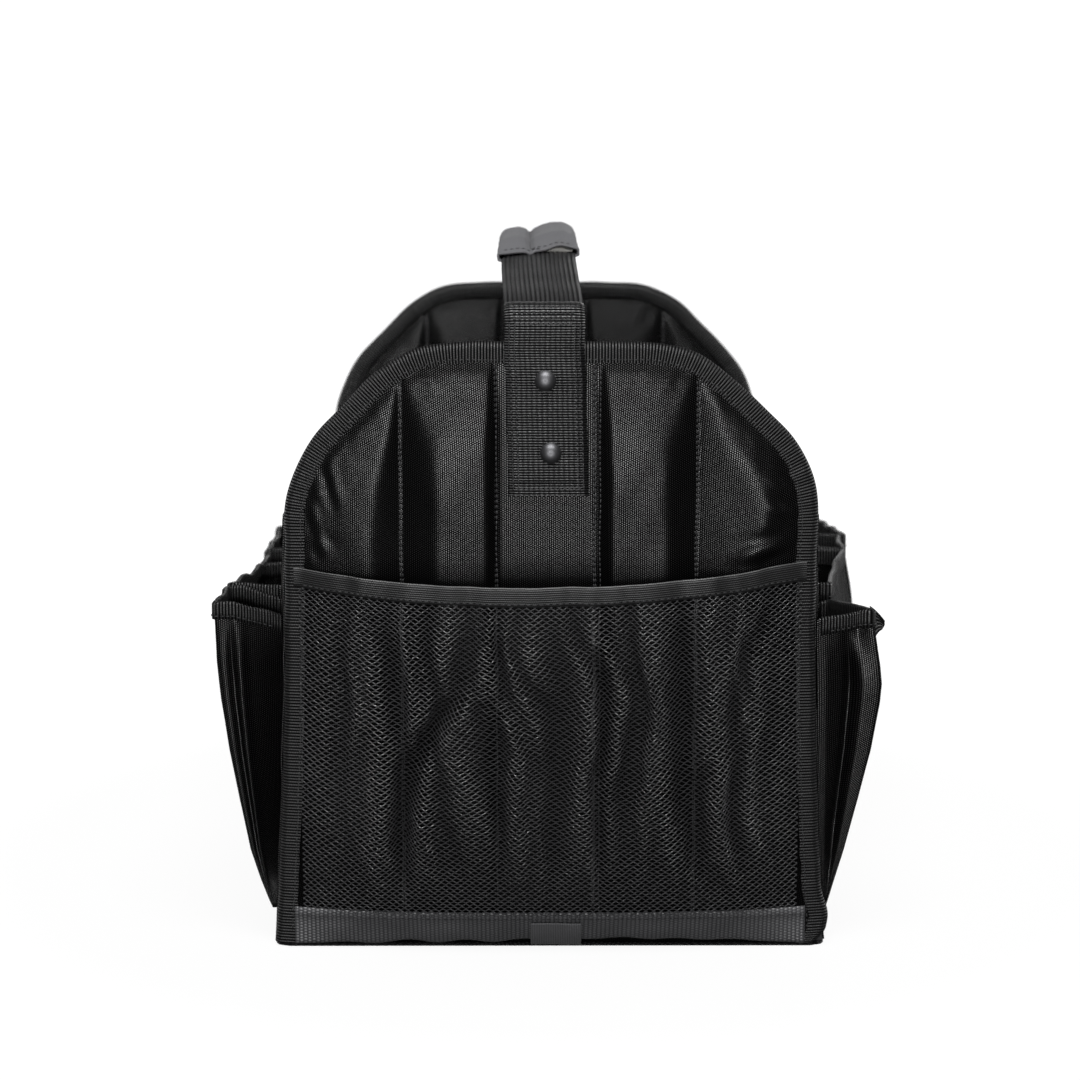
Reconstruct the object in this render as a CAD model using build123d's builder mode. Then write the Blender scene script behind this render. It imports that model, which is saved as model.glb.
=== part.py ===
"""Open-top garden tool bag: two arched end panels, low side walls with a row of flared pockets on
each side, a net pocket on each end panel, and a padded webbing handle from one end to the other.

Frame: millimetres, +Z up, origin on the ground at the middle of the base. X runs across the bag,
Y along it. The front end panel faces -Y.
"""

from build123d import *
from math import atan2, cos, degrees, radians, sin
import os

# ---- Driving dimensions ----
bag_length = 360.0  # between the outer faces of the two end panels
panel_height = 313.0
base_half = 142.0  # half width of an end panel at the ground
shoulder_half = 134.0  # half width of an end panel at its shoulder
shoulder_radius = 75.0
top_flat_half = 46.0  # half length of the level part of the panel's top edge
knee_radius = 64.0  # between the level part and the slope
slope_angle = 46.0  # degrees below level, between the two curves

cloth = 1.2  # end panel and pocket cloth, with its coating
board = 2.0  # stiffener inside an end panel
tape = 0.8  # binding tape
binding_width = 10.0
base_cloth = 1.5
base_board = 3.0
base_board_inset = 6.0
floor_cloth = 1.0
floor_corner = 8.0
small_gap = 0.3  # clearance between soft pieces that would touch

seam_x = (-75.0, -27.5, 25.0, 73.5)  # vertical seams of an end panel
seam_width = 2.0
binding_seam = 1.0  # flat cloth between a loose channel and the binding
puff = 6.0  # how far the loose cloth stands out between two seams
puff_taper = 35.0  # degrees
puff_foot_z = 26.0

wall_height = 225.0
wall_bulge = 1.5  # how far the wall stands outside its own top edge at mid height
wall_foot_half = 141.0
wall_layers = {"wall": 1.0, "wall_board": 1.6, "wall_lining": 0.8}  # from the outside in
wall_binding_height = 9.0

pocket_widths = (45.0, 103.0, 45.0, 103.0, 45.0)  # one side's row, front to back
pocket_gap = 1.25
pocket_rim_z = 181.0
pocket_foot_x = 141.8
pocket_foot_z = 24.0
pocket_seam = 4.0  # closed height above the foot
pocket_reach = 29.0  # how far the rim stands out from the pocket's foot
pocket_belly = ((0.43, 62.0), (0.71, 112.0))  # share of the reach, and height, along the outer face
pocket_rim_tape = 9.0
gusset_room = 10.7  # between a gusset and the shoulder line at rim height, so the pocket can close

net = 0.8
net_half = 127.0
net_corner_half = 111.0
net_end_reach = 2.4
net_fullness = 0.85  # how soon the bow reaches its full depth
net_foot = (22.0, 11.0, 15.0)  # height, reach at the corners, reach in the middle
net_top = (191.0, 11.0, 21.0)
net_rim_low = (191.5, 11.0, 20.6)
net_rim_high = (201.0, 11.0, 21.6)
net_rim_thickness = 2.0
band_low = (2.0, net_end_reach, net_end_reach)
band_high = (21.0, 11.0, 15.0)
tab_width = 26.0
tab_length = 13.0
tab_x = 3.0

strap_width = 40.0
strap_thickness = 2.4
strap_foot_z = 236.0
strap_bend_z = 326.0
strap_bend_radius = 5.0
strap_end_y = 173.6
rivet_places = ((-2.5, 294.0), (0.2, 257.7))
rivet_head_r = 5.4
rivet_head_height = 3.4
rivet_dome_shoulder = (0.72, 0.66)  # a point of the dome, as shares of the head's radius and height
rivet_shank_r = 1.5
rivet_clearance = 0.05
rivet_back_r = 4.6
rivet_back = 1.0

webbing_thickness = 2.2
webbing_end = (172.1, 331.6)  # distance from the middle of the bag, and height
webbing_rise = (115.0, 340.0)
webbing_slope = 0.12  # at its ends
webbing_z = 347.0  # middle of the webbing inside the grip
grip_half = 62.0
grip_width = 44.0
grip_height = 17.0
grip_skin = 1.3
grip_corner = 2.8
grip_foam_width = 38.0
grip_foam_corner = 4.0
grip_foam_inset = 3.0  # from each end of the sleeve

# ---- Places worked out from them ----
face_y = bag_length / 2  # outer face of a panel's cloth
board_y = face_y - cloth
lining_y = board_y - board
inner_y = lining_y - cloth
wall_end_y = inner_y - tape - small_gap
strap_y = face_y + tape + small_gap  # inner face of the riveted strap
slope_run = (
    shoulder_half
    - top_flat_half
    - knee_radius * sin(radians(slope_angle))
    - shoulder_radius * (1 - sin(radians(slope_angle)))
)
slope_length = slope_run / cos(radians(slope_angle))

os.makedirs("parts", exist_ok=True)


def save(part, name):
    """Writes one node."""
    part.label = name
    export_step(part, f"parts/{name}.step")


def save_front_and_back(part, name):
    """Writes a piece of the front end of the bag, and its mirror image at the back."""
    save(part, f"front_{name}")
    save(mirror(part, about=Plane.XZ), f"back_{name}")


def save_right_and_left(part, name):
    """Writes a piece of the bag's right side, and its mirror image on the left."""
    save(part, f"right_{name}")
    save(mirror(part, about=Plane.YZ), f"left_{name}")


def front_plane(y):
    """The sketch plane at -y that faces away from the bag's middle."""
    return Plane.XZ.offset(y)


def panel_outline(inset):
    """The arched end panel's face, made smaller all round by inset."""
    with BuildSketch(mode=Mode.PRIVATE) as outline:
        with BuildLine():
            crest = Line((0, panel_height), (top_flat_half, panel_height))
            knee = JernArc(crest @ 1, (1, 0), knee_radius, -slope_angle)
            slope = Line(knee @ 1, knee @ 1 + slope_length * (knee % 1))
            shoulder = JernArc(slope @ 1, slope % 1, shoulder_radius, slope_angle - 90)
            side = TangentArc(shoulder @ 1, (base_half, base_cloth), tangent=(0, -1))
            Polyline(side @ 1, (0, base_cloth), (0, panel_height))
        make_face()
        mirror(about=Plane.YZ)
        if inset:
            offset(amount=-inset, kind=Kind.INTERSECTION)
    return outline.sketch


def panel_layer(outer_y, thickness):
    """One flat layer of the front end panel, with the two rivet holes."""
    with BuildPart() as layer:
        with BuildSketch(front_plane(outer_y)):
            add(panel_outline(tape))
            with Locations(*rivet_places):
                Circle(rivet_shank_r + rivet_clearance, mode=Mode.SUBTRACT)
        extrude(amount=-thickness)
    return layer.part


def channel_strips():
    """The four loose channels of a panel, two on each side of the flat one that carries the strap."""
    edge_x = shoulder_half - binding_width - binding_seam
    bounds = (-edge_x, *seam_x, edge_x)
    with BuildSketch(mode=Mode.PRIVATE) as strips:
        for low, high in (bounds[0:2], bounds[1:3], bounds[3:5], bounds[4:6]):
            with Locations(((low + high) / 2, puff_foot_z)):
                Rectangle(high - low - seam_width, panel_height, align=(Align.CENTER, Align.MIN))
        add(panel_outline(binding_width + binding_seam), mode=Mode.INTERSECT)
    return strips.sketch


def quilted_cloth(outer_y, puff_from_y, way):
    """A cloth layer whose loose channels stand out, way 1 towards the outside and -1 inwards."""
    with BuildPart() as layer:
        add(panel_layer(outer_y, cloth))
        with BuildSketch(front_plane(puff_from_y)):
            add(channel_strips())
        extrude(amount=way * puff, taper=puff_taper)
    return layer.part


# ---- End panels ----
save_front_and_back(quilted_cloth(face_y, face_y, 1), "face_cloth")
save_front_and_back(panel_layer(board_y, board), "stiffener_board")
save_front_and_back(quilted_cloth(lining_y, inner_y, -1), "lining")

with BuildPart() as edge_binding:
    with BuildSketch(front_plane(face_y + tape)):
        add(panel_outline(0))
        add(panel_outline(binding_width), mode=Mode.SUBTRACT)
        with Locations((0, base_cloth)):
            Rectangle(
                2 * (base_half - binding_width),
                binding_width + binding_seam,
                align=(Align.CENTER, Align.MIN),
                mode=Mode.SUBTRACT,
            )
    extrude(amount=-(face_y + 2 * tape - inner_y))
    with BuildSketch(front_plane(face_y)):
        add(panel_outline(tape))
    extrude(amount=-(face_y - inner_y), mode=Mode.SUBTRACT)
save_front_and_back(edge_binding.part, "edge_binding")

# ---- Base ----
with BuildPart() as bottom_cover:
    with BuildSketch():
        Rectangle(2 * base_half, 2 * (face_y + tape))
    extrude(amount=base_cloth)
save(bottom_cover.part, "bottom_cover")

board_half = base_half - base_board_inset
with BuildPart() as stiff_base:
    with BuildSketch(Plane.XY.offset(base_cloth)):
        RectangleRounded(2 * board_half, 2 * (wall_end_y - small_gap), floor_corner)
    extrude(amount=base_board)
save(stiff_base.part, "base_board")

with BuildPart() as floor_lining:
    with BuildSketch(Plane.XY.offset(base_cloth + base_board)):
        RectangleRounded(
            2 * (board_half - floor_cloth), 2 * (wall_end_y - small_gap), floor_corner
        )
    extrude(amount=floor_cloth)
save(floor_lining.part, "floor_lining")


# ---- Side walls ----
def wall_layer(depth, thickness):
    """One layer of the right wall, whose outer face is depth inside the wall's own."""
    with BuildPart() as layer:
        with BuildSketch(Plane.XZ):
            with BuildLine():
                faces = [
                    Spline(
                        (shoulder_half - inset, wall_height),
                        (shoulder_half + wall_bulge - inset, wall_height / 2),
                        (wall_foot_half - inset, base_cloth),
                        tangents=((0, -1), (0, -1)),
                    )
                    for inset in (depth, depth + thickness)
                ]
                Line(faces[0] @ 0, faces[1] @ 0)
                Line(faces[0] @ 1, faces[1] @ 1)
            make_face()
        extrude(amount=wall_end_y, both=True)
    return layer.part


depth = 0
for name, thickness in wall_layers.items():
    save_right_and_left(wall_layer(depth, thickness), name)
    depth += thickness

with BuildPart() as wall_binding:
    with BuildSketch(Plane.XZ):
        with Locations((shoulder_half - depth / 2, wall_height + tape)):
            Rectangle(depth + 2 * tape, wall_binding_height, align=(Align.CENTER, Align.MAX))
    extrude(amount=wall_end_y, both=True)
    add(wall_layer(0, depth), mode=Mode.SUBTRACT)
save_right_and_left(wall_binding.part, "wall_binding")

# ---- Side pockets: a row on each side, narrow and wide by turns ----
wedge_top_z = pocket_rim_z + 2 * tape
gusset_x = shoulder_half + gusset_room
inside_x = shoulder_half - pocket_reach  # well inside the bag, for cutting a pocket open


def pocket_wedge(length, grow, inner_x, low, high):
    """A wedge from the pocket's bellied outer face, moved outwards by grow, to a straight inner face
    that leans from the foot to inner_x at the top."""
    foot = (pocket_foot_x + grow, pocket_foot_z)
    with BuildPart() as wedge:
        with BuildSketch(Plane.XZ):
            with BuildLine():
                belly = Spline(
                    foot,
                    *[(foot[0] + share * pocket_reach, z) for share, z in pocket_belly],
                    (foot[0] + pocket_reach, wedge_top_z),
                )
                Polyline(foot, (inner_x, wedge_top_z), belly @ 1)
            make_face()
            with Locations((pocket_foot_x, low)):
                Rectangle(
                    4 * pocket_reach,
                    high - low,
                    align=(Align.CENTER, Align.MIN),
                    mode=Mode.INTERSECT,
                )
        extrude(amount=length / 2, both=True)
    return wedge.part


def pocket_cloth(length):
    """The pocket's outer face with a gusset at each end, open at the top and towards the wall."""
    inside = length - 2 * cloth
    with BuildPart() as pocket:
        add(pocket_wedge(length, 0, gusset_x, pocket_foot_z, pocket_rim_z))
        add(
            pocket_wedge(inside, -cloth, inside_x, pocket_foot_z + pocket_seam, wedge_top_z),
            mode=Mode.SUBTRACT,
        )
    return pocket.part


def pocket_rim(length):
    """The tape folded over the pocket's mouth, outside and inside the cloth."""
    low = pocket_rim_z - pocket_rim_tape
    inside = length - 2 * (cloth + tape)
    with BuildPart() as rim:
        add(pocket_wedge(length + tape, tape, gusset_x, low, pocket_rim_z + tape))
        add(
            pocket_wedge(inside, -cloth - tape, inside_x, low, wedge_top_z),
            mode=Mode.SUBTRACT,
        )
        add(pocket_wedge(length, 0, inside_x, low, pocket_rim_z), mode=Mode.SUBTRACT)
        add(
            pocket_wedge(inside, -cloth - tape, gusset_x, low, pocket_rim_z + tape),
            mode=Mode.SUBTRACT,
        )
    return rim.part


pocket_makers = {"": pocket_cloth, "_rim": pocket_rim}
start = -(sum(pocket_widths) + pocket_gap * (len(pocket_widths) - 1)) / 2
for number, width in enumerate(pocket_widths, start=1):
    for ending, maker in pocket_makers.items():
        with BuildPart() as placed:
            with Locations((0, start + width / 2, 0)):
                add(maker(width))
        save_right_and_left(placed.part, f"pocket_{number}{ending}")
    start += width + pocket_gap


# ---- Net pockets ----
def bowed_strip(low, high, thickness):
    """A thin strip in front of the panel, bowed outwards in plan, between two heights."""
    with BuildPart() as strip:
        for z, corner_reach, reach in (low, high):
            quarter_reach = corner_reach + net_fullness * (reach - corner_reach)
            plan = (
                (-net_half, net_end_reach),
                (-net_corner_half, corner_reach),
                (-net_corner_half / 2, quarter_reach),
                (0, reach),
            )
            with BuildSketch(Plane.XY.offset(z)):
                with BuildLine():
                    faces = [
                        Spline(
                            *[(x, -(face_y + stand_off + out)) for x, stand_off in plan],
                            *[(-x, -(face_y + stand_off + out)) for x, stand_off in plan[-2::-1]],
                        )
                        for out in (0, thickness)
                    ]
                    Line(faces[0] @ 0, faces[1] @ 0)
                    Line(faces[0] @ 1, faces[1] @ 1)
                make_face()
        loft()
    return strip.part


save_front_and_back(bowed_strip(net_foot, net_top, net), "net")
save_front_and_back(bowed_strip(net_rim_low, net_rim_high, net_rim_thickness), "net_rim")
save_front_and_back(bowed_strip(band_low, band_high, cloth), "net_foot_band")

band_lean = atan2(band_high[2] - band_low[2], band_high[0] - band_low[0])
tab_origin = (tab_x, -(face_y + band_low[2] + cloth / cos(band_lean) + small_gap), band_low[0])
tab_normal = (0, -cos(band_lean), -sin(band_lean))
with BuildPart() as base_tab:
    with BuildSketch(Plane(tab_origin, x_dir=(1, 0, 0), z_dir=tab_normal)):
        Rectangle(tab_width, tab_length, align=(Align.CENTER, Align.MIN))
    extrude(amount=tape)
save_front_and_back(base_tab.part, "base_tab")

# ---- Riveted straps ----
strap_middle = strap_y + strap_thickness / 2
with BuildPart() as strap:
    with BuildLine():
        rise = Line((0, -strap_middle, strap_foot_z), (0, -strap_middle, strap_bend_z))
        bend = TangentArc(
            rise @ 1,
            (0, -strap_middle + strap_bend_radius, strap_bend_z + strap_bend_radius),
            tangent=(0, 0, 1),
        )
        Line(bend @ 1, (0, -strap_end_y, strap_bend_z + strap_bend_radius))
    with BuildSketch(Plane(rise @ 0, x_dir=(1, 0, 0), z_dir=(0, 0, 1))):
        Rectangle(strap_width, strap_thickness)
    sweep()
    with BuildSketch(front_plane(strap_y)):
        with Locations(*rivet_places):
            Circle(rivet_shank_r + rivet_clearance)
    extrude(amount=strap_thickness, mode=Mode.SUBTRACT)
save_front_and_back(strap.part, "strap")

# A rivet has a domed head outside the strap and a shank through the panel, held by a washer inside.
head_y = strap_y + strap_thickness
with BuildPart() as rivet:
    with BuildSketch():
        with BuildLine():
            dome = ThreePointArc(
                (0, head_y + rivet_head_height),
                (
                    rivet_dome_shoulder[0] * rivet_head_r,
                    head_y + rivet_dome_shoulder[1] * rivet_head_height,
                ),
                (rivet_head_r, head_y),
            )
            shank_end_y = inner_y - rivet_back
            Polyline(
                dome @ 1,
                (rivet_shank_r, head_y),
                (rivet_shank_r, shank_end_y),
                (0, shank_end_y),
                dome @ 0,
            )
        make_face()
    revolve(axis=Axis.Y)

with BuildPart() as rivet_washer:
    with BuildSketch(Plane.XZ.offset(-inner_y)):
        Circle(rivet_back_r)
        Circle(rivet_shank_r + rivet_clearance, mode=Mode.SUBTRACT)
    extrude(amount=rivet_back)


def at_rivets(part):
    """Copies of a part that was modelled on the +Y side, at the front panel's rivets."""
    front = mirror(part, about=Plane.XZ)
    return Compound(children=[Pos(x, 0, z) * front for x, z in rivet_places])


save_front_and_back(at_rivets(rivet.part), "rivets")
save_front_and_back(at_rivets(rivet_washer.part), "rivet_washers")

# ---- Handle ----
with BuildPart() as handle_webbing:
    with BuildLine():
        front_run = Spline(
            (0, -webbing_end[0], webbing_end[1]),
            (0, -webbing_rise[0], webbing_rise[1]),
            (0, -grip_half, webbing_z),
            tangents=((0, 1, webbing_slope), (0, 1, 0)),
        )
        grip_run = Line(front_run @ 1, (0, grip_half, webbing_z))
        Spline(
            grip_run @ 1,
            (0, webbing_rise[0], webbing_rise[1]),
            (0, webbing_end[0], webbing_end[1]),
            tangents=((0, 1, 0), (0, 1, -webbing_slope)),
        )
    with BuildSketch(Plane(front_run @ 0, x_dir=(1, 0, 0), z_dir=front_run % 0)):
        Rectangle(strap_width, webbing_thickness)
    sweep()
save(handle_webbing.part, "handle_webbing")

grip_low = webbing_z - webbing_thickness / 2 - small_gap - grip_skin
with BuildPart() as grip_sleeve:
    with BuildSketch(Plane.XZ):
        with Locations((0, grip_low + grip_height / 2)):
            RectangleRounded(grip_width, grip_height, grip_corner)
            RectangleRounded(
                grip_width - 2 * grip_skin,
                grip_height - 2 * grip_skin,
                grip_corner - grip_skin,
                mode=Mode.SUBTRACT,
            )
    extrude(amount=grip_half, both=True)
save(grip_sleeve.part, "grip_sleeve")

foam_low = webbing_z + webbing_thickness / 2 + small_gap
foam_high = grip_low + grip_height - grip_skin - small_gap
with BuildPart() as grip_foam:
    with BuildSketch(Plane.XZ):
        with Locations((0, (foam_low + foam_high) / 2)):
            RectangleRounded(grip_foam_width, foam_high - foam_low, grip_foam_corner)
    extrude(amount=grip_half - grip_foam_inset, both=True)
save(grip_foam.part, "grip_foam")
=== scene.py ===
"""The garden tool bag as it looks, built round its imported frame.

Lengths are millimetres until a mesh is made, which turns them into metres. The axes are the frame's: +Z up,
X across the bag, Y along it, and the front end panel faces -Y.
"""

import math

import bpy
import numpy as np
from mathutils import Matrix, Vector


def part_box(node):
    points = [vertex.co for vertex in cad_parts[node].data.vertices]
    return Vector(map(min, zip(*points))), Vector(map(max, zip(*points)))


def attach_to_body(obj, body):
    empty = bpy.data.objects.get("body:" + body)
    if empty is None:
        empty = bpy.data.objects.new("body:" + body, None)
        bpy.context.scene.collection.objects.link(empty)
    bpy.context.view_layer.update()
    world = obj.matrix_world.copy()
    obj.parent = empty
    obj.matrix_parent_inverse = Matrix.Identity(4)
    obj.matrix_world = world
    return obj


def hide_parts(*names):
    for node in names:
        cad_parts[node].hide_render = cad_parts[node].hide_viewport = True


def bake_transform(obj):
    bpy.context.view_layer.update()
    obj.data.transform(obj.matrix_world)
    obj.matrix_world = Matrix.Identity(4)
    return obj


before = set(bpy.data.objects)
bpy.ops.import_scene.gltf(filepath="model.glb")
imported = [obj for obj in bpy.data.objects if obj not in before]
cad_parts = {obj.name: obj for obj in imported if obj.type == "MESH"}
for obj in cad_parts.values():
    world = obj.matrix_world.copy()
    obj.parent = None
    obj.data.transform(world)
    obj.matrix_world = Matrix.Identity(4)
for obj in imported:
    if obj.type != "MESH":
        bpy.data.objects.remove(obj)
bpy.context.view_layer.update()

MM = 0.001
BODY = "bag_body"
SIDES = {"left": -1, "right": 1}
ENDS = {"front": -1, "back": 1}
POCKETS = range(1, 6)  # on each side, from the front


# ---- Numbers and curves ----
def node_box(node):
    """Lowest and highest corner of a CAD node, in millimetres."""
    low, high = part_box(node)
    return np.array(low) / MM, np.array(high) / MM


def ripple(seed, wavelength, *coords):
    """A smooth seeded field, mostly between -1 and 1, whose waves are about one wavelength long."""
    draw = np.random.default_rng(seed)
    total = 0
    for _ in range(7):
        way = draw.normal(size=len(coords))
        way *= 2 * math.pi * draw.uniform(0.6, 1.6) / wavelength / np.linalg.norm(way)
        phase = draw.uniform(0, 2 * math.pi)
        total = total + np.sin(sum(w * c for w, c in zip(way, coords)) + phase)
    return total / 4


def ease(low, high, value):
    """0 below low, 1 above high, and a smooth rise between."""
    t = np.clip((value - low) / (high - low), 0, 1)
    return t * t * (3 - 2 * t)


def bump(value, centre, width):
    """A smooth bump of height 1."""
    return np.exp(-(((value - centre) / width) ** 2))


def smooth(values, passes=1):
    """A row of numbers or points with its corners rounded; the ends stay."""
    for _ in range(passes):
        inner = (values[:-2] + 2 * values[1:-1] + values[2:]) / 4
        values = np.concatenate([values[:1], inner, values[-1:]])
    return values


def lengths(points):
    """Distance along a line of points, from its start to each point."""
    steps = np.linalg.norm(np.diff(points, axis=0), axis=1)
    return np.concatenate([[0], np.cumsum(steps)])


def points_at(points, run, at):
    """The points of a line at some distances along it; run holds the distance of each given point."""
    return np.stack([np.interp(at, run, column) for column in points.T], axis=1)


def resample(points, spacing):
    """Points at even distances along a line of points."""
    points = np.asarray(points, float)
    run = lengths(points)
    count = max(2, round(run[-1] / spacing) + 1)
    return points_at(points, run, np.linspace(0, run[-1], count))


def row_lengths(a, b):
    """Distance along each row of a grid whose points are (a, b), from the row's start."""
    steps = np.hypot(np.diff(a, axis=1), np.diff(b, axis=1))
    return np.concatenate([np.zeros((len(a), 1)), np.cumsum(steps, axis=1)], axis=1)


def joined(*parts):
    """Grids of coordinates as one grid of points."""
    return np.stack(np.broadcast_arrays(*parts), axis=-1)


def unit(vectors):
    """Vectors made one long."""
    return vectors / np.maximum(np.linalg.norm(vectors, axis=-1, keepdims=True), 1e-12)


# ---- Material nodes ----
class Shader:
    """A node material under construction. Sockets are passed about as values."""

    def __init__(self, name):
        self.material = bpy.data.materials.new(name)
        self.material.use_nodes = True
        self.tree = self.material.node_tree
        self.surface = self.tree.nodes["Principled BSDF"]
        uv = self.tree.nodes.new("ShaderNodeUVMap")
        split = self.tree.nodes.new("ShaderNodeSeparateXYZ")
        self.tree.links.new(uv.outputs[0], split.inputs[0])
        self.uv, self.u, self.v = uv.outputs[0], split.outputs[0], split.outputs[1]

    def put(self, socket, value):
        """Links a socket or sets a number."""
        if isinstance(value, bpy.types.NodeSocket):
            self.tree.links.new(value, socket)
        else:
            socket.default_value = value

    def math(self, operation, a, b=0.0, c=0.0):
        node = self.tree.nodes.new("ShaderNodeMath")
        node.operation = operation
        for socket, value in zip(node.inputs, (a, b, c)):
            self.put(socket, value)
        return node.outputs[0]

    def noise(self, scale, detail):
        """Noise over the cloth; scale is in waves per millimetre."""
        node = self.tree.nodes.new("ShaderNodeTexNoise")
        node.inputs["Scale"].default_value = scale
        node.inputs["Detail"].default_value = detail
        self.tree.links.new(self.uv, node.inputs["Vector"])
        return node.outputs[0]

    def ramp(self, value, low, high):
        """value from 0..1 turned into low..high."""
        return self.math("MULTIPLY_ADD", value, high - low, low)

    def weave(self, across, along, pitch, step, bead, stagger=0.5):
        """Height 0..1 of cords pitch apart, beaded every step along them, each cord's beads shifted by
        stagger; bead is how deep the beads are cut."""
        column = self.math("DIVIDE", across, pitch)
        number = self.math("FLOOR", column)
        cord = self.math("SINE", self.math("MULTIPLY", self.math("FRACT", column), math.pi))
        shift = self.math("MULTIPLY", self.math("FLOORED_MODULO", number, 2.0), stagger)
        place = self.math("FRACT", self.math("ADD", self.math("DIVIDE", along, step), shift))
        beads = self.math("SINE", self.math("MULTIPLY", place, math.pi))
        return self.math("MULTIPLY", cord, self.ramp(beads, 1 - bead, 1))

    def finish(
        self, height, depth, dark, light, rough=0.5, sheen=0.0, rough_spread=0.15, shine=0.5, crest=2.0
    ):
        """Wires a relief of depth mm, a colour from dark in its hollows to light on its crests, and a shine
        that its hollows lack, the more so the higher crest is. Where height is a weave's relief, the dark
        hollows and their missing shine are painted shade; where it is plain noise, the colour is random tone."""
        links, nodes = self.tree.links, self.tree.nodes
        mottle = self.noise(0.02, 4)
        # The colour: random tone from the mottle, and painted shade in the height's hollows.
        tone_and_hollow_shade = self.math("MULTIPLY_ADD", mottle, 0.5, self.math("MULTIPLY", height, 0.7))
        mix = nodes.new("ShaderNodeMix")
        mix.data_type = "RGBA"
        self.put(mix.inputs[0], tone_and_hollow_shade)
        mix.inputs[6].default_value = (*dark, 1)
        mix.inputs[7].default_value = (*light, 1)
        links.new(mix.outputs[2], self.surface.inputs["Base Color"])
        relief = nodes.new("ShaderNodeBump")
        relief.inputs["Distance"].default_value = depth * MM
        links.new(height, relief.inputs["Height"])
        links.new(relief.outputs[0], self.surface.inputs["Normal"])
        self.put(
            self.surface.inputs["Roughness"],
            self.ramp(mottle, rough - rough_spread / 2, rough + rough_spread / 2),
        )
        # Painted shade on the reflections: the hollows shine less than the crests.
        level = self.math("MULTIPLY", self.math("POWER", height, crest), shine)
        self.put(self.surface.inputs["Specular IOR Level"], level)
        self.surface.inputs["Sheen Weight"].default_value = sheen
        self.surface.inputs["Sheen Roughness"].default_value = 0.4
        return self.material


def grey(level):
    """A slightly cool grey."""
    return (level, level, level * 1.05)


def fuzz(shader, height, amount):
    """The height with fine yarn noise on it."""
    return shader.math("MULTIPLY_ADD", shader.noise(1.7, 2), amount, height)


def make_woven(name, pitch, step, bead, relief, dark, light, yarn=0.25, turned=False, stagger=0.5, **look):
    """A woven material: the pitch of its cords, the step and depth of their beads, its relief in millimetres,
    and its greys. Turned cords run along the piece's U."""
    s = Shader(name)
    across, along = (s.v, s.u) if turned else (s.u, s.v)
    height = fuzz(s, s.weave(across, along, pitch, step, bead, stagger), yarn)
    return s.finish(height, relief, grey(dark), grey(light), **look)


def make_satin(name):
    """The bag's smooth cloth. An end panel's has painted shade: it shines far less below its net's rim, where
    the net keeps light off.
    """
    s = Shader(name)
    shine = 1.6
    if name == "panel_cloth":
        # Painted shade of the net: below the rim's height the shine falls to about a fifth.
        above_rim = s.math("MAXIMUM", s.math("MULTIPLY_ADD", s.v, 0.06, -11.4), 0.2)
        shine = s.math("MULTIPLY", s.math("SMOOTH_MIN", above_rim, 1.0, 0.05), 1.22)
    height = fuzz(s, s.weave(s.u, s.v, 1.08, 1.15, 0.85), 0.3)
    return s.finish(height, 0.045, grey(0.0008), grey(0.004), 0.36, shine=shine, crest=5.0)


def make_netting():
    """The net's yarn, with painted light and shade: by the lit attribute it is brighter and shinier where the
    net stands out, and darker and duller in its folds' hollows.
    """
    s = Shader("netting")
    lit = s.tree.nodes.new("ShaderNodeAttribute")
    lit.attribute_name = "lit"
    # Painted light and shade: lit sets the shine, and through the height the colour.
    shine = s.math("MULTIPLY", lit.outputs["Fac"], 22.0)
    yarn = s.math("MULTIPLY", s.noise(1.0, 2), s.ramp(lit.outputs["Fac"], 0.6, 1.0))
    return s.finish(yarn, 0.03, grey(0.004), grey(0.10), 0.38, shine=shine, crest=5.0)


def make_rivet_metal():
    """Dark, dull metal."""
    s = Shader("rivet_metal")
    s.surface.inputs["Metallic"].default_value = 1.0
    return s.finish(s.noise(0.6, 6), 0.02, grey(0.16), grey(0.26), 0.5, 0.0, 0.1, shine=2.0)


def make_plain(name, scale, relief, dark, light, rough):
    """A material whose relief is noise only."""
    s = Shader(name)
    return s.finish(s.noise(scale, 5), relief, dark, light, rough)


def make_thread():
    """Twisted thread."""
    s = Shader("thread")
    twist = s.weave(s.math("ADD", s.u, s.v), s.v, 0.5, 0.5, 0.1)
    return s.finish(twist, 0.06, grey(0.01), grey(0.05), 0.42, 0.05, shine=1.2)


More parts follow.
